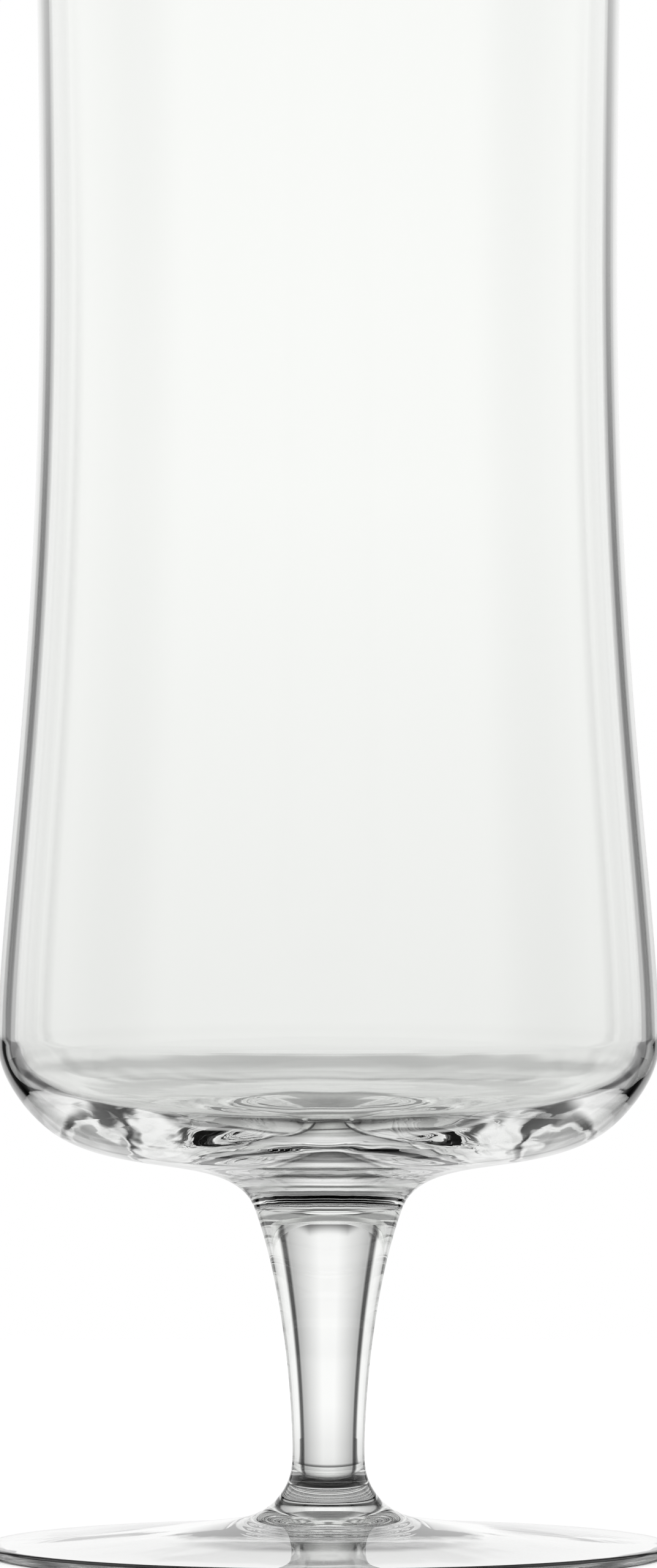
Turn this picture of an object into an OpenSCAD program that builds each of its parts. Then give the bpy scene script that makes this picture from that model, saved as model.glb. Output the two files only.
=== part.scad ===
// Pilsner glass in three pieces of clear glass: a tall waisted bowl with a heavy base,
// a short solid stem and a round foot. The glass stands on the plane z = 0, its axis is
// the Z axis, and all lengths are in millimetres.
//
// Each piece is one outline turned about the axis. The outlines are made of smooth
// curves that run upwards from the table to the rim. A curve leaves and reaches its end
// points at given angles, where 0 points away from the axis and 90 points straight up.

/* [Bowl] */
// Height of the bowl piece, from its joint with the stem to the rim
bowl_h = 153.5; // [120:0.5:180]
// Outer diameter at the rim
rim_d = 62.7; // [58:0.1:70]
// Angle by which the wall leans outwards at the rim
rim_lean = 2; // [0:0.5:6]
// Outer diameter at the waist, the narrowest ring of the wall
waist_d = 60.8; // [54:0.1:66]
// Height of the waist above the joint with the stem
waist_h = 99.5; // [75:0.5:110]
// Outer diameter at the belly, the widest ring of the bowl
belly_d = 69.7; // [67:0.1:76]
// Height of the belly above the joint with the stem
belly_h = 17.5; // [15:0.5:30]
// Outer diameter at the heel, where the wall turns under the bowl
heel_d = 58.1; // [50:0.1:62]
// Height of the heel above the joint with the stem
heel_h = 8.1; // [7:0.1:9]
// Slope of the underside at the heel
heel_slope = 35; // [25:1:45]

/* [Inside of the bowl] */
// Wall thickness at the rim
rim_wall = 1.2; // [0.8:0.05:2]
// Wall thickness at the waist
waist_wall = 1.4; // [1:0.05:2.4]
// Wall thickness at the belly
belly_wall = 1.8; // [1.2:0.05:3]
// Height of the lowest full width ring of the hollow above the joint with the stem
hollow_h = 18.2; // [15:0.1:32]
// Diameter of the floor's corner, the ring where the floor turns up into the wall
corner_d = 48.6; // [44:0.1:52]
// Height of the corner above the joint with the stem
corner_h = 9.25; // [8.8:0.05:11]
// Slope of the floor at the corner
corner_slope = 16; // [12:1:24]
// Thickness of the solid base on the axis, from the joint with the stem to the floor
base_t = 8.4; // [7:0.1:8.7]

/* [Stem] */
// Length of the stem piece, from its joint with the foot to its joint with the bowl
stem_l = 28.5; // [22:0.5:60]
// Diameter at the joint with the bowl
collar_d = 15.5; // [13:0.1:18]
// Slope of the side at the joint with the bowl
collar_slope = 70; // [60:1:80]
// Diameter at the neck, the thinnest ring of the stem
neck_d = 7.6; // [6.5:0.02:8]
// Height of the neck above the joint with the foot
neck_h = 2.9; // [2:0.1:6]

/* [Foot] */
// Diameter of the foot
foot_d = 72.6; // [60:0.1:80]
// Height of the foot piece, from the table to its joint with the stem
foot_h = 8; // [7:0.1:11]
// Diameter at the joint with the stem
joint_d = 8.44; // [8:0.02:10]
// Slope of the side at the joint with the stem
joint_slope = 68; // [60:1:80]
// Diameter at which the round foot of the stem runs out into the flat of the foot
flare_d = 22.2; // [18:0.1:26]
// Height of the flat at that diameter
flare_h = 3.6; // [3.2:0.05:4.5]
// Slope of the flat at that diameter
flare_slope = 7.6; // [4:0.1:12]
// Thickness of the foot at its edge
edge_t = 1.3; // [1:0.05:2.4]
// Slope of the flat where it meets the rounded edge
edge_slope = 1.5; // [1:0.5:6]
// Width of the flat ring that the glass rests on
rest_w = 1.5; // [1:0.1:5]
// Depth of the hollow under the foot
under_t = 2.9; // [0.5:0.05:3]
// Slope of the hollow where it meets the resting ring
under_slope = 2.5; // [2:0.5:8]

/* [Hidden] */

// Facets of a full turn in the preview
$fn = 180;

// Straight steps along a long curve, a short curve and a small round
long_steps = 26;
short_steps = 14;
round_steps = 10;

// How far a curve keeps its starting and its ending direction, as shares of the distance
// between its ends
rim_shares = [0.2, 0.4];
wall_shares = [0.17, 0.53];
heel_shares = [0.29, 0.32];
under_shares = [0.29, 0.37];
stem_shares = [0.21, 0.34];
neck_shares = [0.32, 0.32];
flare_shares = [0.25, 0.5];
flat_shares = [0.3, 0.3];
floor_shares = [0.6, 0.26];
corner_shares = [0.49, 0.26];

// Directions along an outline
outwards = 0;
upwards = 90;
inwards = 180;

// Heights of the two joints and of the rim above the table
stem_z = foot_h;
bowl_z = foot_h + stem_l;
rim_z = bowl_z + bowl_h;

// Points of the outer side, from the table up. The first number of a point is its
// distance from the axis, and the second its height.
edge_r = edge_t / 2;
edge_bottom = [foot_d / 2 - edge_r, 0];
edge_top = [foot_d / 2 - edge_r, edge_t];
flare = [flare_d / 2, flare_h];
joint = [joint_d / 2, stem_z];
neck = [neck_d / 2, stem_z + neck_h];
collar = [collar_d / 2, bowl_z];
heel = [heel_d / 2, bowl_z + heel_h];
belly = [belly_d / 2, bowl_z + belly_h];
waist = [waist_d / 2, bowl_z + waist_h];
lip_r = rim_wall / 2;
rim = [rim_d / 2, rim_z - lip_r];

// Points of the hollow, from the floor up
floor_mid = [0, bowl_z + base_t];
corner = [corner_d / 2, bowl_z + corner_h];
hollow_low = [belly_d / 2 - belly_wall, bowl_z + hollow_h];
hollow_waist = waist - [waist_wall, 0];
hollow_rim = rim - [rim_wall, 0];

// Points of the hollow under the foot
rest_in = [edge_bottom[0] - rest_w, 0];
under_mid = [0, under_t];

// Unit vector at an angle
function along(angle) = [cos(angle), sin(angle)];

// Point at t from 0 to 1 on the cubic curve with the ends a and d and the handles b and c
function cubic(a, b, c, d, t) =
    pow(1 - t, 3) * a
    + 3 * pow(1 - t, 2) * t * b
    + 3 * (1 - t) * pow(t, 2) * c
    + pow(t, 3) * d;

// Points of a smooth curve from a to b, without a itself. It leaves a at angle from_a
// and reaches b at angle to_b, and shares says how far it keeps each direction.
function curve(a, b, from_a, to_b, shares, steps) =
    let (
        reach = norm(b - a),
        handle_a = a + shares[0] * reach * along(from_a),
        handle_b = b - shares[1] * reach * along(to_b)
    )
    [for (i = [1:steps]) cubic(a, handle_a, handle_b, b, i / steps)];

// Points of an arc about a centre, without its first point
function arc(centre, radius, from_angle, to_angle, steps) =
    [for (i = [1:steps])
        centre + radius * along(from_angle + (to_angle - from_angle) * i / steps)];

// Points of one list in the other order
function reversed(points) = [for (i = [len(points) - 1:-1:0]) points[i]];

// Round edge of the foot, from the table to its top
function edge_outline() =
    arc([edge_bottom[0], edge_r], edge_r, outwards - 90, outwards + 90, round_steps);

// Top of the foot, from its edge to the joint with the stem
function foot_top_outline() = concat(
    curve(edge_top, flare, inwards - edge_slope, inwards - flare_slope,
        flat_shares, short_steps),
    curve(flare, joint, inwards - flare_slope, inwards - joint_slope,
        flare_shares, short_steps)
);

// Side of the stem, from the joint with the foot to the joint with the bowl
function stem_outline() = concat(
    curve(joint, neck, inwards - joint_slope, upwards, neck_shares, short_steps),
    curve(neck, collar, upwards, collar_slope, stem_shares, long_steps)
);

// Outer side of the bowl, from the joint with the stem to the lip
function bowl_outline() = concat(
    curve(collar, heel, collar_slope, heel_slope, under_shares, long_steps),
    curve(heel, belly, heel_slope, upwards, heel_shares, short_steps),
    curve(belly, waist, upwards, upwards, wall_shares, long_steps),
    curve(waist, rim, upwards, upwards - rim_lean, rim_shares, short_steps)
);

// Inner side of the bowl, from the middle of its floor to the lip
function hollow_outline() = concat(
    curve(floor_mid, corner, outwards, corner_slope, floor_shares, short_steps),
    curve(corner, hollow_low, corner_slope, upwards, corner_shares, short_steps),
    curve(hollow_low, hollow_waist, upwards, upwards, wall_shares, long_steps),
    curve(hollow_waist, hollow_rim, upwards, upwards - rim_lean,
        rim_shares, short_steps)
);

// Rounded lip over the top of the wall, from its outer to its inner side
function lip_outline() =
    arc(rim - [lip_r, 0], lip_r, outwards, inwards, round_steps);

// Underside of the foot, from its middle to the ring that the glass rests on
function under_outline() =
    curve(under_mid, rest_in, outwards, outwards - under_slope,
        flat_shares, short_steps);

// Round foot with a shallow hollow under it
module foot() {
    color([0.80, 0.87, 0.89])
        rotate_extrude()
            polygon(concat(
                [[0, stem_z], under_mid],
                under_outline(),
                [edge_bottom],
                edge_outline(),
                foot_top_outline()
            ));
}

// Solid stem, thinnest just above the foot
module stem() {
    color([0.86, 0.91, 0.93])
        rotate_extrude()
            polygon(concat(
                [[0, bowl_z], [0, stem_z], joint],
                stem_outline()
            ));
}

// Tall bowl with a heavy solid base
module bowl() {
    color([0.90, 0.94, 0.95])
        rotate_extrude()
            polygon(concat(
                [floor_mid, [0, bowl_z], collar],
                bowl_outline(),
                lip_outline(),
                reversed(hollow_outline())
            ));
}

foot();
stem();
bowl();
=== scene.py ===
"""Pilsner glass: the bowl, stem and foot turned in clear glass, on a white studio floor."""

import math

import bpy
from bpy.props import FloatProperty, FloatVectorProperty, IntProperty, PointerProperty
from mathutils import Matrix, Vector


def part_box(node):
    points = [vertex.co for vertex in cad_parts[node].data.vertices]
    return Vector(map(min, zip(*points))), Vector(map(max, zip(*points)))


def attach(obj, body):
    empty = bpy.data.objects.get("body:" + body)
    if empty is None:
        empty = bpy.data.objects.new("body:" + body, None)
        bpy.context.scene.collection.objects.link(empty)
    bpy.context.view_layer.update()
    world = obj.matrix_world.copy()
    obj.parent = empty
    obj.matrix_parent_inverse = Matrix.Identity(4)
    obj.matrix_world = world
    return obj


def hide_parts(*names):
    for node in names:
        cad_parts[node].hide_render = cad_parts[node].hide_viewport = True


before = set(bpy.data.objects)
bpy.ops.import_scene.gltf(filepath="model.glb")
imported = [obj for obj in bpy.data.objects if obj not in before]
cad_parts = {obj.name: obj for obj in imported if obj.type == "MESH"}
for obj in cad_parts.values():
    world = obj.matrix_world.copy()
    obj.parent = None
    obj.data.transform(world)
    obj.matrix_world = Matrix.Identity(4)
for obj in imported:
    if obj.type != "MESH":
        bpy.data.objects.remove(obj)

bl_info = {
    "name": "Pilsner Glass",
    "version": (1, 0, 0),
    "blender": (4, 5, 0),
    "location": "3D View > Sidebar > Pilsner Glass",
    "description": "Builds a pilsner glass of clear glass in three pieces, with its stage",
    "category": "Add Mesh",
}

MM = 0.001
FOOT_LOW, FOOT_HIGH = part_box("foot")
STEM_LOW, STEM_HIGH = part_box("stem")
BOWL_LOW, BOWL_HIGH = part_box("bowl")

# Directions along an outline, in degrees: 0 points away from the axis
OUTWARDS = 0
UPWARDS = 90
INWARDS = 180


def length(name, description, default, low=0.0):
    """A size in metres."""
    return FloatProperty(
        name=name, description=description, default=default, min=low, unit="LENGTH"
    )


def slope(name, description, degrees):
    """An angle, written in degrees and kept in radians."""
    return FloatProperty(
        name=name, description=description, default=math.radians(degrees), subtype="ANGLE"
    )


class FootSizes(bpy.types.PropertyGroup):
    """Sizes of the foot."""

    diameter: length("Diameter", "Diameter of the foot", FOOT_HIGH[0] - FOOT_LOW[0])
    edge_thickness: length("Edge thickness", "Thickness at the rounded edge", 1.3 * MM)
    edge_slope: slope("Edge slope", "Slope of the flat where it meets the edge", 1.5)
    flare_diameter: length("Flare diameter", "Where the flare meets the flat", 22.2 * MM)
    flare_height: length("Flare height", "Height of the flat at the flare", 3.6 * MM)
    flare_slope: slope("Flare slope", "Slope of the flat at the flare", 7.6)
    joint_diameter: length("Joint diameter", "Diameter at the joint with the stem", 8.44 * MM)
    joint_slope: slope("Joint slope", "Slope of the side at the joint with the stem", 68)
    rest_width: length("Rest width", "Width of the ring that the glass rests on", 1.5 * MM)
    under_depth: length("Hollow depth", "Depth of the hollow under the foot", 2.9 * MM)
    under_slope: slope("Hollow slope", "Slope of the hollow at the resting ring", 2.5)


class StemSizes(bpy.types.PropertyGroup):
    """Sizes of the stem."""

    neck_diameter: length("Neck diameter", "Diameter at the thinnest ring", 7.6 * MM)
    neck_height: length("Neck height", "Height of the neck above the foot's joint", 2.9 * MM)
    collar_diameter: length(
        "Collar diameter", "Diameter at the joint with the bowl", STEM_HIGH[0] - STEM_LOW[0]
    )
    collar_slope: slope("Collar slope", "Slope of the side at the joint with the bowl", 70)


class BowlSizes(bpy.types.PropertyGroup):
    """Sizes of the bowl. Heights are above its joint with the stem."""

    heel_diameter: length("Heel diameter", "Where the wall turns under the bowl", 58.1 * MM)
    heel_height: length("Heel height", "Height of the heel", 8.1 * MM)
    heel_slope: slope("Heel slope", "Slope of the underside at the heel", 35)
    belly_diameter: length("Belly diameter", "Widest ring", BOWL_HIGH[0] - BOWL_LOW[0])
    belly_height: length("Belly height", "Height of the widest ring", 17.5 * MM)
    waist_diameter: length("Waist diameter", "Narrowest ring of the wall", 60.8 * MM)
    waist_height: length("Waist height", "Height of the waist", 99.5 * MM)
    rim_diameter: length("Rim diameter", "Outer diameter at the rim", 62.7 * MM)
    rim_lean: slope("Rim lean", "How far the wall leans outwards at the rim", 2)
    rim_wall: length("Rim wall", "Wall thickness at the rim", 1.2 * MM)
    waist_wall: length("Waist wall", "Wall thickness at the waist", 1.4 * MM)
    belly_wall: length("Belly wall", "Wall thickness at the belly", 1.8 * MM)
    hollow_height: length("Hollow height", "Height of the lowest full width", 18.2 * MM)
    corner_diameter: length("Corner diameter", "Where the floor turns up", 48.6 * MM)
    corner_height: length("Corner height", "Height of the floor's corner", 9.25 * MM)
    corner_slope: slope("Corner slope", "Slope of the floor at its corner", 16)
    base_thickness: length("Base thickness", "Solid glass on the axis", 8.4 * MM)


class GlassLook(bpy.types.PropertyGroup):
    """How the glass is turned and what it is made of."""

    segments: IntProperty(
        name="Segments", description="Steps round the axis", default=192, min=24
    )
    colour: FloatVectorProperty(
        name="Colour",
        description="Tint of the glass",
        default=(0.983, 0.99, 0.978),
        size=3,
        subtype="COLOR",
        min=0.0,
        max=1.0,
    )
    foot_ripple: length("Foot ripple", "Depth of the waves in the foot", 0.05 * MM)
    base_ripple: length("Base ripple", "Depth of the waves in the heavy base", 0.07 * MM)
    wall_ripple: length("Wall ripple", "Depth of the waves in the wall and stem", 0.001 * MM)
    ripple_low: length("Ripple fade start", "Where the base's waves start to fade", 43 * MM)
    ripple_high: length("Ripple fade end", "Where only the wall's waves are left", 60 * MM)
    shadow: FloatVectorProperty(
        name="Shadow",
        description="Light that one wall lets through to the floor",
        default=(0.93, 0.93, 0.93),
        size=3,
        subtype="COLOR",
        min=0.0,
        max=1.0,
    )


class StageLook(bpy.types.PropertyGroup):
    """The camera, the floor and the light."""

    camera_distance: length("Camera distance", "From the axis of the glass", 1300 * MM)
    camera_height: length("Camera height", "Above the floor", 97 * MM)
    view_height: length("View height", "Height of the picture at the axis", 165.12 * MM)
    view_middle: length("View middle", "Height of the middle of the picture", 81.3 * MM)
    floor_radius: length("Floor radius", "Radius of the round floor", 400 * MM)
    gap_radius: length("Gap radius", "Distance of the dark gaps beside the backdrop", 182 * MM)
    gap_full: length("Gap fade height", "Where the gaps start to fade", 100 * MM)
    gap_height: length("Gap height", "Where the gaps have faded", 180 * MM)
    shade_inner: length("Shade inner radius", "Where the shade is darkest", 10.5 * MM)
    shade_outer: length("Shade outer radius", "Where it has faded under the foot", 18 * MM)
    halo_outer: length("Halo radius", "Where the shade round the foot has faded", 60 * MM)


# How far a curve keeps its starting and its ending direction, as shares of the distance
# between its ends
FLAT_SHARES = (0.3, 0.3)
FLARE_SHARES = (0.25, 0.5)
NECK_SHARES = (0.32, 0.32)
STEM_SHARES = (0.21, 0.34)
UNDER_SHARES = (0.29, 0.37)
HEEL_SHARES = (0.29, 0.32)
WALL_SHARES = (0.17, 0.53)
RIM_SHARES = (0.2, 0.4)
FLOOR_SHARES = (0.6, 0.26)
CORNER_SHARES = (0.49, 0.26)

# Straight steps along a long curve, a short curve and a small round, and the share of a
# curve that its first and its last step take
LONG_STEPS = 64
SHORT_STEPS = 40
ROUND_STEPS = 18
END_STEP = 0.002

# Points closer than this become one when a piece is turned
WELD_DISTANCE = 0.0005 * MM

# A face with more of the joint's mark than this lies inside a fused joint
JOINT_SHARE = 0.1

REFRACTIVE_INDEX = 1.52

# Waves in the surface of each piece: how many go round it, how many a metre of outline
# holds, and the radius inside which the surface is still
FOOT_WAVES = (22, 80, 11 * MM)
STEM_WAVES = (12, 60, 2 * MM)
BOWL_WAVES = (22, 130, 3 * MM)
# The waves are full from this many times the still radius
STILL_GROWTH = 2.5
WAVE_DETAIL = 1.0
# Least distance from the axis that the waves are worked out for
NEAR_AXIS = 0.01 * MM

# How often light may be mirrored by the glass, or pass through it and the stage
MIRROR_BOUNCES = 16
GLASS_BOUNCES = 32

# Sides of the round floor and of the ring, and how far the floor lies under the foot
STAGE_SIDES = 96
FLOOR_DROP = 0.02 * MM

# The pale floor itself
FLOOR_COLOUR = (0.9, 0.9, 0.9, 1)
FLOOR_ROUGHNESS = 0.9
FLOOR_GLOW = 0.35

# Light of the world on the floor, and on what the camera sees past the glass
FLOOR_LIGHT = 0.8
WHITE = 1.0

# What the glass shows of the studio is made of fades. The first two numbers of a fade are
# where it starts and ends, and the last two its value there, which is a light, a share or
# an angle. Angles are in degrees: the turn is 0 straight behind the glass and 180 towards
# the camera, and the rise is 0 level and 90 straight up.

# The backdrop, the bright panel on each side and the room behind the camera, by turn
BACKDROP_FADE = (6.0, 29.0, 1.0, 0.5)
BACKDROP_END = (33.0, 35.0, 0.0, 1.0)
PANEL_START = (50.0, 66.0, 1.0, 0.78)
PANEL_END = (72.0, 88.0, 1.0, 0.75)
ROOM_START = (100.0, 120.0, 0.0, 1.0)
ROOM_LIGHT = 0.85

# Above the backdrop and the panels: the room over them by turn, a dark band and the lit
# ceiling by rise
OVER_FADE = (12.0, 40.0, 0.18, 0.75)
OVER_FRONT_START = (80.0, 100.0, 0.0, 1.0)
OVER_FRONT_LIGHT = 0.3
DARK_BAND_START = (60.0, 63.0, 0.0, 1.0)
DARK_BAND_LIGHT = 0.12
CEILING_START = (68.0, 71.0, 0.0, 1.0)
CEILING_LIGHT = 1.0

# Rise of the backdrop's top edge: how it falls to the sides, how it dips at the gap, and
# the grey line that follows it, by the rise above it
TOP_FALL = (12.0, 34.0, 0.0, 7.0)
TOP_DIP_START = (25.0, 31.5, 0.0, 1.0)
TOP_DIP_END = (38.0, 45.0, 4.5, 0.0)
TOP_EDGE = (16.5, 19.5, 0.0, 1.0)
TOP_LINE_START = (17.0, 19.0, 0.0, 1.0)
TOP_LINE_END = (21.0, 25.0, 1.0, 0.0)
TOP_LINE_LIGHT = 0.22

# The table, by rise: three fades towards the glass, a grey line far behind it, and the
# dark table between the glass and the camera
TABLE_FADES = ((-2.6, 0.5, 0.88, 1.0), (-12.0, -2.6, 0.93, 1.0), (-50.0, -38.0, 0.07, 1.0))
TABLE_LINE_START = (-19.4, -17.2, 0.0, 1.0)
TABLE_LINE_END = (-16.2, -14.6, 0.34, 0.0)
NEAR_TURN = (110.0, 140.0, 0.0, 1.0)
NEAR_RISE = (-30.0, -20.0, 1.0, 0.0)
NEAR_LIGHT = 0.1

# The gap on each side of the backdrop by turn, and how dark it is low down and high up
GAP_START = (29.0, 33.0, 0.0, 1.0)
GAP_END = (35.5, 42.0, 1.0, 0.0)
GAP_DARK, GAP_FAINT = 0.94, 0.1

# The floor's painted shade, as the glass shows it: its light under the stem and under the foot,
# and what the halo adds as the painted shade round the foot fades
SHADE_LIGHT, FOOT_LIGHT, HALO_LIGHT = 0.015, 0.85, 0.15

# The painted line of shade over the floor on each side by turn, and where it starts from the axis
LINE_START = (31.0, 36.0, 0.0, 1.0)
LINE_END = (39.0, 44.0, 0.7, 0.0)
LINE_REACH = (38.0 * MM, 44.0 * MM, 0.0, 1.0)

# The painted band of shade on the floor close behind the foot, from the axis and by turn
BAND_START = (36.5 * MM, 39.0 * MM, 0.0, 1.0)
BAND_END = (44.0 * MM, 56.0 * MM, 0.8, 0.0)
BAND_SIDES = (20.0, 60.0, 1.0, 0.0)


def along(angle):
    """Unit vector at an angle in degrees."""
    return Vector((math.cos(math.radians(angle)), math.sin(math.radians(angle))))


def curve(a, b, from_a, to_b, shares, steps):
    """Points of a smooth curve from a to b, without a itself. A tiny step at each end
    gives the shading the exact direction there, so that curves and pieces meet unseen."""
    reach = (b - a).length
    handle_a = a + shares[0] * reach * along(from_a)
    handle_b = b - shares[1] * reach * along(to_b)
    points = []
    for t in [END_STEP] + [i / steps for i in range(1, steps)] + [1 - END_STEP, 1]:
        points.append(
            (1 - t) ** 3 * a
            + 3 * (1 - t) ** 2 * t * handle_a
            + 3 * (1 - t) * t**2 * handle_b
            + t**3 * b
        )
    return points


def arc(centre, radius, from_angle, to_angle, steps):
    """Points of an arc, without its first point."""
    turn = (to_angle - from_angle) / steps
    return [centre + radius * along(from_angle + turn * i) for i in range(1, steps + 1)]


def stem_joint(sizes):
    """Where the side of the foot meets the side of the stem."""
    return Vector((sizes.foot.joint_diameter / 2, STEM_LOW[2]))


def bowl_joint(sizes):
    """Where the side of the stem meets the side of the bowl."""
    return Vector((sizes.stem.collar_diameter / 2, BOWL_LOW[2]))


def foot_outline(sizes):
    """The foot from the middle of its underside, round its edge and up to the stem."""
    s = sizes.foot
    edge_r = s.edge_thickness / 2
    edge_x = s.diameter / 2 - edge_r
    middle = Vector((0, s.under_depth))
    rest = Vector((edge_x - s.rest_width, 0))
    flare = Vector((s.flare_diameter / 2, s.flare_height))
    edge_slope = INWARDS - math.degrees(s.edge_slope)
    flare_slope = INWARDS - math.degrees(s.flare_slope)
    joint_slope = INWARDS - math.degrees(s.joint_slope)
    under_slope = OUTWARDS - math.degrees(s.under_slope)
    joint = stem_joint(sizes)
    return (
        [middle]
        + curve(middle, rest, OUTWARDS, under_slope, FLAT_SHARES, SHORT_STEPS)
        + [Vector((edge_x, 0))]
        + arc(Vector((edge_x, edge_r)), edge_r, -UPWARDS, UPWARDS, ROUND_STEPS)
        + curve(
            Vector((edge_x, s.edge_thickness)),
            flare,
            edge_slope,
            flare_slope,
            FLAT_SHARES,
            SHORT_STEPS,
        )
        + curve(flare, joint, flare_slope, joint_slope, FLARE_SHARES, LONG_STEPS)
        + [Vector((0, joint.y))]
    )


def stem_outline(sizes):
    """The stem from the middle of its lower joint, up its side, to its upper joint."""
    s = sizes.stem
    low, high = stem_joint(sizes), bowl_joint(sizes)
    neck = Vector((s.neck_diameter / 2, low.y + s.neck_height))
    joint_slope = INWARDS - math.degrees(sizes.foot.joint_slope)
    collar_slope = math.degrees(s.collar_slope)
    return (
        [Vector((0, low.y)), low]
        + curve(low, neck, joint_slope, UPWARDS, NECK_SHARES, SHORT_STEPS)
        + curve(neck, high, UPWARDS, collar_slope, STEM_SHARES, LONG_STEPS)
        + [Vector((0, high.y))]
    )


def bowl_outline(sizes):
    """The bowl from its joint, up its side, over the lip and down to its floor."""
    s = sizes.bowl
    base = BOWL_LOW[2]
    joint = bowl_joint(sizes)
    heel = Vector((s.heel_diameter / 2, base + s.heel_height))
    belly = Vector((s.belly_diameter / 2, base + s.belly_height))
    waist = Vector((s.waist_diameter / 2, base + s.waist_height))
    lip_r = s.rim_wall / 2
    rim = Vector((s.rim_diameter / 2, BOWL_HIGH[2] - lip_r))
    floor_middle = Vector((0, base + s.base_thickness))
    corner = Vector((s.corner_diameter / 2, base + s.corner_height))
    hollow_low = Vector((s.belly_diameter / 2 - s.belly_wall, base + s.hollow_height))
    hollow_waist = waist - Vector((s.waist_wall, 0))
    hollow_rim = rim - Vector((s.rim_wall, 0))
    collar_slope = math.degrees(sizes.stem.collar_slope)
    heel_slope = math.degrees(s.heel_slope)
    corner_slope = math.degrees(s.corner_slope)
    rim_slope = UPWARDS - math.degrees(s.rim_lean)
    outside = (
        curve(joint, heel, collar_slope, heel_slope, UNDER_SHARES, LONG_STEPS)
        + curve(heel, belly, heel_slope, UPWARDS, HEEL_SHARES, SHORT_STEPS)
        + curve(belly, waist, UPWARDS, UPWARDS, WALL_SHARES, LONG_STEPS)
        + curve(waist, rim, UPWARDS, rim_slope, RIM_SHARES, SHORT_STEPS)
    )
    lip = arc(rim - Vector((lip_r, 0)), lip_r, OUTWARDS, INWARDS, ROUND_STEPS)
    inside = (
        curve(floor_middle, corner, OUTWARDS, corner_slope, FLOOR_SHARES, LONG_STEPS)
        + curve(corner, hollow_low, corner_slope, UPWARDS, CORNER_SHARES, SHORT_STEPS)
        + curve(hollow_low, hollow_waist, UPWARDS, UPWARDS, WALL_SHARES, LONG_STEPS)
        + curve(hollow_waist, hollow_rim, UPWARDS, rim_slope, RIM_SHARES, SHORT_STEPS)
    )
    return [Vector((0, base)), joint] + outside + lip + inside[-2::-1] + [floor_middle]


class Graph:
    """Short calls for building the nodes of a tree. A value that they take is a node's
    output or a plain number."""

    def __init__(self, tree):
        self.nodes, self.links = tree.nodes, tree.links

    def feed(self, sockets, values):
        """Links each value into its socket, or sets it there when it is a number."""
        for socket, value in zip(sockets, values):
            if isinstance(value, bpy.types.NodeSocket):
                self.links.new(value, socket)
            else:
                socket.default_value = value

    def math(self, operation, *values):
        """One Math node."""
        node = self.nodes.new("ShaderNodeMath")
        node.operation = operation
        self.feed(node.inputs, values)
        return node.outputs[0]

    def product(self, first, *others):
        """All the values multiplied."""
        for other in others:
            first = self.math("MULTIPLY", first, other)
        return first

    def without(self, value, share):
        """The value less a share of it."""
        return self.product(value, self.math("SUBTRACT", 1.0, share))

    def ramp(self, value, low, high, to_low, to_high, kind="LINEAR"):
        """Goes from to_low to to_high between low and high, and is level beyond them."""
        node = self.nodes.new("ShaderNodeMapRange")
        node.interpolation_type = kind
        names = ("Value", "From Min", "From Max", "To Min", "To Max")
        sockets = [node.inputs[name] for name in names]
        self.feed(sockets, (value, low, high, to_low, to_high))
        return node.outputs[0]

    def step(self, value, low, high, to_low=0.0, to_high=1.0):
        """A ramp with smooth ends."""
        return self.ramp(value, low, high, to_low, to_high, "SMOOTHSTEP")

    def mix(self, share, a, b):
        """a where share is 0 and b where it is 1."""
        node = self.nodes.new("ShaderNodeMix")
        node.data_type = "FLOAT"
        self.feed((node.inputs[0], node.inputs[2], node.inputs[3]), (share, a, b))
        return node.outputs[0]

    def place(self, output):
        """x, y and z of a texture coordinate."""
        xyz = self.nodes.new("ShaderNodeSeparateXYZ")
        self.links.new(self.nodes.new("ShaderNodeTexCoord").outputs[output], xyz.inputs[0])
        return xyz.outputs

    def turn(self, x, y):
        """Degrees away from straight behind the glass, to either side."""
        return self.math("DEGREES", self.math("ARCTAN2", self.math("ABSOLUTE", x), y))


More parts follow.
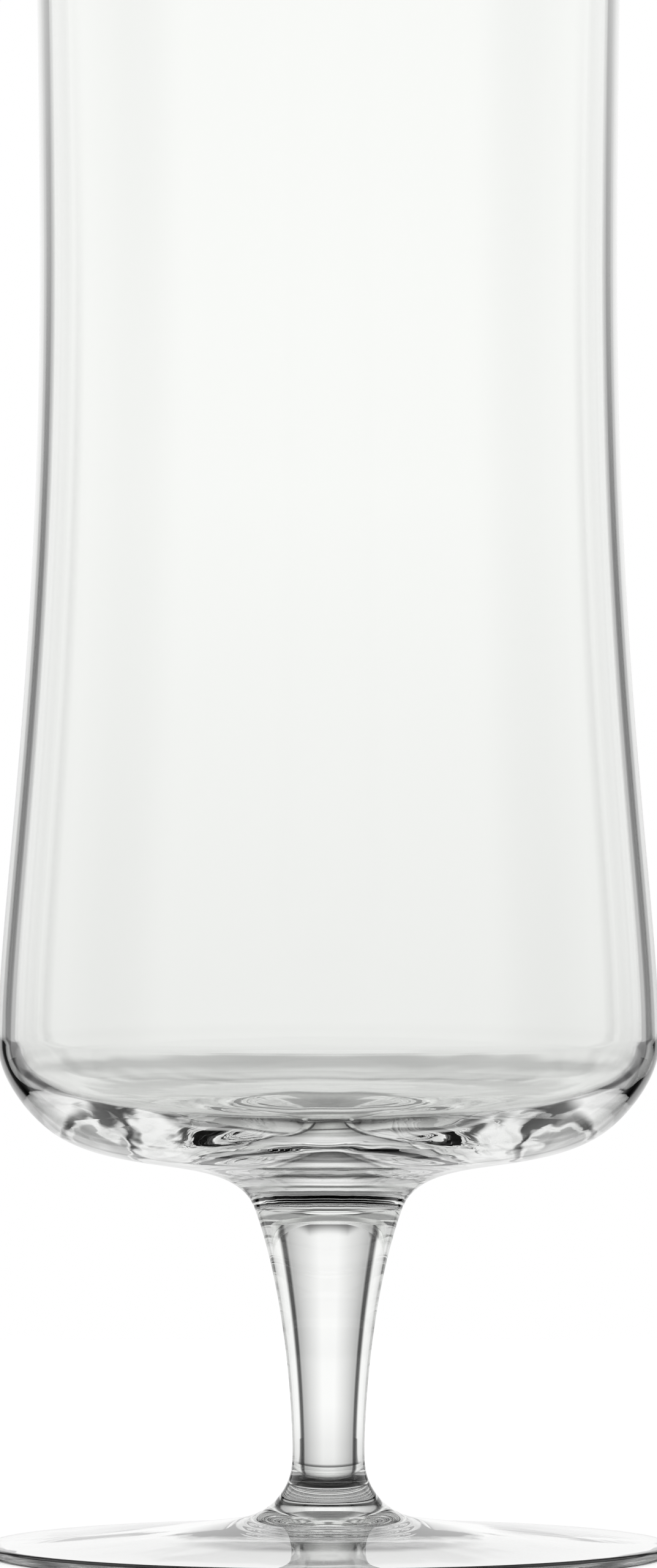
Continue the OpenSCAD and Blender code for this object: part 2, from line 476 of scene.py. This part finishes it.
def lathe_tree():
    """Geometry nodes that turn an outline about the Z axis and close its seam."""
    tree = bpy.data.node_groups.new("Turned glass", "GeometryNodeTree")
    face = tree.interface
    face.new_socket("Outline", in_out="INPUT", socket_type="NodeSocketGeometry")
    face.new_socket("Segments", in_out="INPUT", socket_type="NodeSocketInt")
    face.new_socket("Glass", in_out="INPUT", socket_type="NodeSocketMaterial")
    face.new_socket("Joint", in_out="INPUT", socket_type="NodeSocketMaterial")
    face.new_socket("Weld Distance", in_out="INPUT", socket_type="NodeSocketFloat")
    face.new_socket("Piece", in_out="OUTPUT", socket_type="NodeSocketGeometry")
    g = Graph(tree)
    nodes, links = g.nodes, g.links
    given = nodes.new("NodeGroupInput")

    # One column of points for each point of the outline, one row for each step round
    size = nodes.new("GeometryNodeAttributeDomainSize")
    links.new(given.outputs["Outline"], size.inputs[0])
    rows = g.math("ADD", given.outputs["Segments"], 1)
    grid = nodes.new("GeometryNodeMeshGrid")
    links.new(size.outputs["Point Count"], grid.inputs["Vertices X"])
    links.new(rows, grid.inputs["Vertices Y"])
    index = nodes.new("GeometryNodeInputIndex").outputs[0]
    column = g.math("FLOOR", g.math("DIVIDE", g.math("ADD", index, 0.5), rows))
    row = g.math("SUBTRACT", index, g.product(column, rows))
    turn = g.math("DIVIDE", g.product(row, math.tau), given.outputs["Segments"])

    def sampled(data_type, value):
        """The value at the outline's point for this column."""
        node = nodes.new("GeometryNodeSampleIndex")
        node.data_type = data_type
        links.new(given.outputs["Outline"], node.inputs["Geometry"])
        links.new(value, node.inputs["Value"])
        links.new(column, node.inputs["Index"])
        return node.outputs["Value"]

    position = nodes.new("GeometryNodeInputPosition").outputs[0]
    place = nodes.new("ShaderNodeSeparateXYZ")
    links.new(sampled("FLOAT_VECTOR", position), place.inputs[0])
    mark = nodes.new("GeometryNodeInputNamedAttribute")
    mark.data_type = "FLOAT"
    mark.inputs["Name"].default_value = "joint"
    turned = nodes.new("ShaderNodeCombineXYZ")
    for name, way in (("X", "COSINE"), ("Y", "SINE")):
        links.new(g.product(place.outputs["X"], g.math(way, turn)), turned.inputs[name])
    links.new(place.outputs["Z"], turned.inputs["Z"])

    # The mark is 1 in the middle of a fused joint and 0 at all other points, so each face
    # of the joint has a share of it
    keep = nodes.new("GeometryNodeStoreNamedAttribute")
    keep.data_type = "FLOAT"
    keep.domain = "POINT"
    keep.inputs["Name"].default_value = "at_joint"
    links.new(grid.outputs["Mesh"], keep.inputs["Geometry"])
    links.new(sampled("FLOAT", mark.outputs["Attribute"]), keep.inputs["Value"])
    move = nodes.new("GeometryNodeSetPosition")
    links.new(keep.outputs["Geometry"], move.inputs["Geometry"])
    links.new(turned.outputs[0], move.inputs["Position"])

    kept = nodes.new("GeometryNodeInputNamedAttribute")
    kept.data_type = "FLOAT"
    kept.inputs["Name"].default_value = "at_joint"
    on_joint = nodes.new("FunctionNodeCompare")
    on_joint.data_type = "FLOAT"
    on_joint.operation = "GREATER_THAN"
    links.new(kept.outputs["Attribute"], on_joint.inputs[0])
    on_joint.inputs[1].default_value = JOINT_SHARE
    off_joint = nodes.new("FunctionNodeBooleanMath")
    off_joint.operation = "NOT"
    links.new(on_joint.outputs[0], off_joint.inputs[0])

    smooth = nodes.new("GeometryNodeSetShadeSmooth")
    links.new(move.outputs["Geometry"], smooth.inputs["Geometry"])
    links.new(off_joint.outputs[0], smooth.inputs["Selection"])
    weld = nodes.new("GeometryNodeMergeByDistance")
    links.new(smooth.outputs["Geometry"], weld.inputs["Geometry"])
    links.new(given.outputs["Weld Distance"], weld.inputs["Distance"])
    flip = nodes.new("GeometryNodeFlipFaces")
    links.new(weld.outputs["Geometry"], flip.inputs["Mesh"])
    real = nodes.new("GeometryNodeRealizeInstances")
    links.new(flip.outputs["Mesh"], real.inputs["Geometry"])
    all_glass = nodes.new("GeometryNodeSetMaterial")
    links.new(real.outputs["Geometry"], all_glass.inputs["Geometry"])
    links.new(given.outputs["Glass"], all_glass.inputs["Material"])
    joint = nodes.new("GeometryNodeSetMaterial")
    links.new(all_glass.outputs["Geometry"], joint.inputs["Geometry"])
    links.new(on_joint.outputs[0], joint.inputs["Selection"])
    links.new(given.outputs["Joint"], joint.inputs["Material"])
    out = nodes.new("NodeGroupOutput")
    links.new(joint.outputs["Geometry"], out.inputs["Piece"])
    return tree


def set_inputs(modifier, values):
    """Sets a Geometry Nodes modifier's inputs by name, through their identifiers."""
    for item in modifier.node_group.interface.items_tree:
        if item.item_type == "SOCKET" and item.in_out == "INPUT" and item.name in values:
            modifier[item.identifier] = values[item.name]


def turned_piece(name, outline, joints, look, glass):
    """A piece turned from its outline. joints says at which ends it is fused to the next."""
    mesh = bpy.data.meshes.new(name + "_outline")
    points = [(p.x, 0.0, p.y) for p in outline]
    mesh.from_pydata(points, [(i, i + 1) for i in range(len(points) - 1)], [])
    mark = mesh.attributes.new("joint", "FLOAT", "POINT")
    if "start" in joints:
        mark.data[0].value = 1.0
    if "end" in joints:
        mark.data[len(points) - 1].value = 1.0
    joint = fused_joint()
    mesh.materials.append(glass)
    mesh.materials.append(joint)
    source = bpy.data.objects.new(name + "_outline", mesh)
    bpy.context.collection.objects.link(source)
    modifier = source.modifiers.new("Turn", "NODES")
    modifier.node_group = bpy.data.node_groups.get("Turned glass") or lathe_tree()
    set_inputs(
        modifier,
        {
            "Segments": look.segments,
            "Glass": glass,
            "Joint": joint,
            "Weld Distance": WELD_DISTANCE,
        },
    )
    source.update_tag()
    bpy.context.view_layer.update()
    graph = bpy.context.evaluated_depsgraph_get()
    made = bpy.data.meshes.new_from_object(source.evaluated_get(graph), depsgraph=graph)
    bpy.data.objects.remove(source)
    made.name = name
    made.attributes.remove(made.attributes["at_joint"])
    piece = bpy.data.objects.new(name, made)
    bpy.context.collection.objects.link(piece)
    return piece


def ripple_group():
    """Shader nodes that give the normal of slow waves in the glass. The waves are counted
    round the axis and along the turned outline."""
    found = bpy.data.node_groups.get("Glass ripple")
    if found:
        return found
    tree = bpy.data.node_groups.new("Glass ripple", "ShaderNodeTree")
    for name in ("Waves Round", "Waves Along", "Depth", "Still Radius"):
        tree.interface.new_socket(name, in_out="INPUT", socket_type="NodeSocketFloat")
    tree.interface.new_socket("Normal", in_out="OUTPUT", socket_type="NodeSocketVector")
    g = Graph(tree)
    given = g.nodes.new("NodeGroupInput").outputs
    x, y, z = g.place("Object")
    away = g.math("SQRT", g.math("ADD", g.math("POWER", x, 2.0), g.math("POWER", y, 2.0)))
    away = g.math("MAXIMUM", away, NEAR_AXIS)
    radius = g.math("DIVIDE", given["Waves Round"], math.tau)
    round_share = g.math("DIVIDE", radius, away)
    where = g.nodes.new("ShaderNodeCombineXYZ")
    along_it = g.product(g.math("ADD", away, z), given["Waves Along"])
    g.feed(where.inputs, (g.product(x, round_share), g.product(y, round_share), along_it))
    noise = g.nodes.new("ShaderNodeTexNoise")
    noise.inputs["Scale"].default_value = 1.0
    noise.inputs["Detail"].default_value = WAVE_DETAIL
    g.links.new(where.outputs[0], noise.inputs["Vector"])
    bump = g.nodes.new("ShaderNodeBump")
    g.links.new(noise.outputs[0], bump.inputs["Height"])
    # The waves fade out near the axis, where they would all meet
    still = given["Still Radius"]
    growth = g.step(away, still, g.product(still, STILL_GROWTH))
    g.links.new(g.product(given["Depth"], growth), bump.inputs["Distance"])
    out = g.nodes.new("NodeGroupOutput")
    g.links.new(bump.outputs[0], out.inputs["Normal"])
    return tree


def clear_glass(name, look, waves, low_depth, high_depth):
    """Colourless glass that lets the light through to the floor. Its waves have one depth
    near the table and another one up the wall."""
    found = bpy.data.materials.get(name)
    if found:
        return found
    material = bpy.data.materials.new(name)
    material.use_nodes = True
    g = Graph(material.node_tree)
    nodes, links = g.nodes, g.links
    glass = nodes["Principled BSDF"]
    glass.inputs["Base Color"].default_value = (*look.colour, 1)
    glass.inputs["Roughness"].default_value = 0.0
    glass.inputs["IOR"].default_value = REFRACTIVE_INDEX
    glass.inputs["Transmission Weight"].default_value = 1.0
    ripple = nodes.new("ShaderNodeGroup")
    ripple.node_tree = ripple_group()
    wave_names = ("Waves Round", "Waves Along", "Still Radius")
    g.feed([ripple.inputs[wave_name] for wave_name in wave_names], waves)
    height = g.place("Object")[2]
    depth = g.step(height, look.ripple_low, look.ripple_high, low_depth, high_depth)
    links.new(depth, ripple.inputs["Depth"])
    links.new(ripple.outputs["Normal"], glass.inputs["Normal"])
    lamps = nodes.new("ShaderNodeBsdfTransparent")
    lamps.inputs["Color"].default_value = (*look.shadow, 1)
    path = nodes.new("ShaderNodeLightPath")
    mix = nodes.new("ShaderNodeMixShader")
    links.new(path.outputs["Is Shadow Ray"], mix.inputs[0])
    links.new(glass.outputs[0], mix.inputs[1])
    links.new(lamps.outputs[0], mix.inputs[2])
    links.new(mix.outputs[0], nodes["Material Output"].inputs["Surface"])
    return material


def fused_joint():
    """The hidden faces inside a fused joint, where the glass has no surface."""
    found = bpy.data.materials.get("fused_joint")
    if found:
        return found
    material = bpy.data.materials.new("fused_joint")
    material.use_nodes = True
    shader = material.node_tree.nodes["Principled BSDF"]
    shader.inputs["Alpha"].default_value = 0.0
    shader.inputs["Specular IOR Level"].default_value = 0.0
    return material


def dress(piece, node):
    """Puts a finished piece in the place of its CAD node."""
    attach(piece, "root")
    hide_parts(node)


class PILSNER_OT_foot(bpy.types.Operator):
    """Turn the round foot"""

    bl_idname = "pilsner.foot"
    bl_label = "Foot"

    def execute(self, context):
        sizes = context.scene.pilsner
        look = sizes.look
        glass = clear_glass("foot_glass", look, FOOT_WAVES, look.foot_ripple, look.foot_ripple)
        piece = turned_piece("foot_glass", foot_outline(sizes), ("end",), look, glass)
        dress(piece, "foot")
        return {"FINISHED"}


class PILSNER_OT_stem(bpy.types.Operator):
    """Turn the solid stem"""

    bl_idname = "pilsner.stem"
    bl_label = "Stem"

    def execute(self, context):
        sizes = context.scene.pilsner
        look = sizes.look
        glass = clear_glass("stem_glass", look, STEM_WAVES, look.wall_ripple, look.wall_ripple)
        ends = ("start", "end")
        piece = turned_piece("stem_glass", stem_outline(sizes), ends, look, glass)
        dress(piece, "stem")
        return {"FINISHED"}


class PILSNER_OT_bowl(bpy.types.Operator):
    """Turn the tall bowl"""

    bl_idname = "pilsner.bowl"
    bl_label = "Bowl"

    def execute(self, context):
        sizes = context.scene.pilsner
        look = sizes.look
        glass = clear_glass("bowl_glass", look, BOWL_WAVES, look.base_ripple, look.wall_ripple)
        piece = turned_piece("bowl_glass", bowl_outline(sizes), ("start",), look, glass)
        dress(piece, "bowl")
        return {"FINISHED"}


def studio_world():
    """White to the camera. Seen through the glass: a backdrop that fades to both sides,
    bright side panels, a dim room over them, a lit ceiling and the table."""
    world = bpy.data.worlds.new("Studio")
    bpy.context.scene.world = world
    world.use_nodes = True
    g = Graph(world.node_tree)
    x, y, z = g.place("Generated")
    turn = g.turn(x, y)
    rise = g.math("DEGREES", g.math("ARCSINE", z))

    backdrop = g.ramp(turn, *BACKDROP_FADE)
    panel = g.product(g.ramp(turn, *PANEL_START), g.ramp(turn, *PANEL_END))
    beside = g.mix(g.step(turn, *ROOM_START), panel, ROOM_LIGHT)
    level = g.mix(g.step(turn, *BACKDROP_END), backdrop, beside)

    over = g.step(turn, *OVER_FADE)
    over = g.mix(g.step(turn, *OVER_FRONT_START), over, OVER_FRONT_LIGHT)
    over = g.mix(g.step(rise, *DARK_BAND_START), over, DARK_BAND_LIGHT)
    over = g.mix(g.step(rise, *CEILING_START), over, CEILING_LIGHT)

    # The edge falls to the sides with a round dip at the gap, and a grey line follows it
    dip = g.product(g.step(turn, *TOP_DIP_START), g.step(turn, *TOP_DIP_END))
    above = g.math("ADD", g.math("SUBTRACT", rise, g.ramp(turn, *TOP_FALL)), dip)
    line = g.product(g.step(above, *TOP_LINE_START), g.step(above, *TOP_LINE_END))
    seen = g.mix(g.step(above, *TOP_EDGE), level, g.mix(line, over, TOP_LINE_LIGHT))

    seen = g.product(seen, *(g.ramp(rise, *fade) for fade in TABLE_FADES))
    far_line = g.product(g.step(rise, *TABLE_LINE_START), g.step(rise, *TABLE_LINE_END))
    seen = g.without(seen, far_line)
    near = g.product(g.step(turn, *NEAR_TURN), g.step(rise, *NEAR_RISE))
    seen = g.mix(near, seen, NEAR_LIGHT)

    path = g.nodes.new("ShaderNodeLightPath")
    value = g.mix(path.outputs["Is Diffuse Ray"], seen, FLOOR_LIGHT)
    value = g.mix(path.outputs["Is Camera Ray"], value, WHITE)
    background = g.nodes["Background"]
    g.links.new(value, background.inputs["Color"])
    background.inputs["Strength"].default_value = 1.0


def floor_material(look):
    """Pale floor, white to the camera, that keeps the soft shadow of the glass. Through the glass
    it shows painted shade instead: dark below the stem and pale further out, with a painted line
    and band of shade near the foot."""
    material = bpy.data.materials.new("studio_floor")
    material.use_nodes = True
    g = Graph(material.node_tree)
    shader = g.nodes["Principled BSDF"]
    shader.inputs["Base Color"].default_value = FLOOR_COLOUR
    shader.inputs["Roughness"].default_value = FLOOR_ROUGHNESS
    shader.inputs["Specular IOR Level"].default_value = 0.0
    shader.inputs["Emission Color"].default_value = (1, 1, 1, 1)
    shader.inputs["Emission Strength"].default_value = FLOOR_GLOW

    away = g.nodes.new("ShaderNodeVectorMath")
    away.operation = "LENGTH"
    g.links.new(g.nodes.new("ShaderNodeTexCoord").outputs["Object"], away.inputs[0])
    away = away.outputs["Value"]
    # Painted shadow of the glass under the stem and round the foot: darkest near the axis, paler
    # under the foot and further out
    shade = g.step(away, look.shade_inner, look.shade_outer, SHADE_LIGHT, FOOT_LIGHT)
    halo = g.ramp(away, look.shade_outer, look.halo_outer, 0.0, HALO_LIGHT)
    light = g.math("ADD", shade, halo)
    # A painted line of shade runs over the floor on each side, from the foot to the backdrop's
    # gap
    x, y, z = g.place("Object")
    turn = g.turn(x, y)
    line = g.product(
        g.step(turn, *LINE_START), g.step(turn, *LINE_END), g.step(away, *LINE_REACH)
    )
    light = g.without(light, line)
    # A painted band of shade lies on the floor close behind the foot
    band = g.product(
        g.step(away, *BAND_START), g.step(away, *BAND_END), g.step(turn, *BAND_SIDES)
    )
    light = g.without(light, band)
    through = g.nodes.new("ShaderNodeBsdfTransparent")
    g.links.new(light, through.inputs["Color"])
    path = g.nodes.new("ShaderNodeLightPath")
    mix = g.nodes.new("ShaderNodeMixShader")
    g.links.new(path.outputs["Is Camera Ray"], mix.inputs[0])
    g.links.new(through.outputs[0], mix.inputs[1])
    g.links.new(shader.outputs[0], mix.inputs[2])
    g.links.new(mix.outputs[0], g.nodes["Material Output"].inputs["Surface"])
    return material


def gap_material(look):
    """The narrow dark gap on each side of the backdrop, clear elsewhere. It fades upwards."""
    material = bpy.data.materials.new("backdrop_gap")
    material.use_nodes = True
    g = Graph(material.node_tree)
    x, y, z = g.place("Object")
    turn = g.turn(x, y)
    gap = g.product(g.step(turn, *GAP_START), g.step(turn, *GAP_END))
    depth = g.step(z, look.gap_full, look.gap_height, GAP_DARK, GAP_FAINT)
    through = g.nodes.new("ShaderNodeBsdfTransparent")
    g.links.new(g.without(1.0, g.product(gap, depth)), through.inputs["Color"])
    g.links.new(through.outputs[0], g.nodes["Material Output"].inputs["Surface"])
    return material


def ring(name, radius, depth, material):
    """An open upright ring round the glass that only the glass shows."""
    bpy.ops.mesh.primitive_cylinder_add(
        vertices=STAGE_SIDES, radius=radius, depth=depth, end_fill_type="NOTHING"
    )
    made = bpy.context.object
    made.name = name
    made.data.materials.append(material)
    made.visible_camera = False
    made.visible_diffuse = False
    made.visible_shadow = False
    return made


def disc(name, radius, height, material):
    """A flat round piece of the stage."""
    bpy.ops.mesh.primitive_circle_add(
        vertices=STAGE_SIDES, radius=radius, fill_type="NGON", location=(0, 0, height)
    )
    made = bpy.context.object
    made.name = name
    made.data.materials.append(material)
    return made


def studio_camera(look):
    """A long lens at the height of the middle of the glass."""
    data = bpy.data.cameras.new("Camera")
    camera = bpy.data.objects.new("Camera", data)
    bpy.context.collection.objects.link(camera)
    bpy.context.scene.camera = camera
    place = Vector((0.0, -look.camera_distance, look.camera_height))
    target = Vector((0.0, 0.0, look.view_middle))
    camera.location = place
    camera.rotation_euler = (target - place).to_track_quat("-Z", "Y").to_euler()
    data.sensor_fit = "AUTO"
    data.lens = data.sensor_width * look.camera_distance / look.view_height


class PILSNER_OT_stage(bpy.types.Operator):
    """Make the floor, the light and the camera"""

    bl_idname = "pilsner.stage"
    bl_label = "Stage"

    def execute(self, context):
        look = context.scene.pilsner.stage
        studio_camera(look)
        studio_world()
        disc("floor", look.floor_radius, -FLOOR_DROP, floor_material(look))
        ring("gap", look.gap_radius, 2 * look.gap_height, gap_material(look))
        scene = context.scene
        scene.view_settings.view_transform = "Standard"
        scene.cycles.max_bounces = GLASS_BOUNCES
        scene.cycles.transmission_bounces = GLASS_BOUNCES
        scene.cycles.glossy_bounces = MIRROR_BOUNCES
        scene.cycles.transparent_max_bounces = GLASS_BOUNCES
        return {"FINISHED"}


class PilsnerSettings(bpy.types.PropertyGroup):
    """Everything that can be set on the glass and its stage."""

    foot: PointerProperty(type=FootSizes)
    stem: PointerProperty(type=StemSizes)
    bowl: PointerProperty(type=BowlSizes)
    look: PointerProperty(type=GlassLook)
    stage: PointerProperty(type=StageLook)


class PILSNER_PT_panel(bpy.types.Panel):
    """Sizes of the glass and the buttons that build it"""

    bl_idname = "PILSNER_PT_panel"
    bl_label = "Pilsner Glass"
    bl_space_type = "VIEW_3D"
    bl_region_type = "UI"
    bl_category = "Pilsner Glass"

    def draw(self, context):
        settings = context.scene.pilsner
        for group in (settings.foot, settings.stem, settings.bowl, settings.look, settings.stage):
            box = self.layout.box()
            for name in group.__annotations__:
                box.prop(group, name)
        for operator in OPERATORS:
            self.layout.operator(operator.bl_idname)


OPERATORS = (PILSNER_OT_foot, PILSNER_OT_stem, PILSNER_OT_bowl, PILSNER_OT_stage)
CLASSES = (
    FootSizes,
    StemSizes,
    BowlSizes,
    GlassLook,
    StageLook,
    PilsnerSettings,
    *OPERATORS,
    PILSNER_PT_panel,
)


def register():
    for cls in CLASSES:
        bpy.utils.register_class(cls)
    bpy.types.Scene.pilsner = PointerProperty(type=PilsnerSettings)


def unregister():
    del bpy.types.Scene.pilsner
    for cls in reversed(CLASSES):
        bpy.utils.unregister_class(cls)


def main():
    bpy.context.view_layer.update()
    register()
    bpy.ops.pilsner.stage()
    bpy.ops.pilsner.foot()
    bpy.ops.pilsner.stem()
    bpy.ops.pilsner.bowl()


if __name__ == "__main__":
    main()
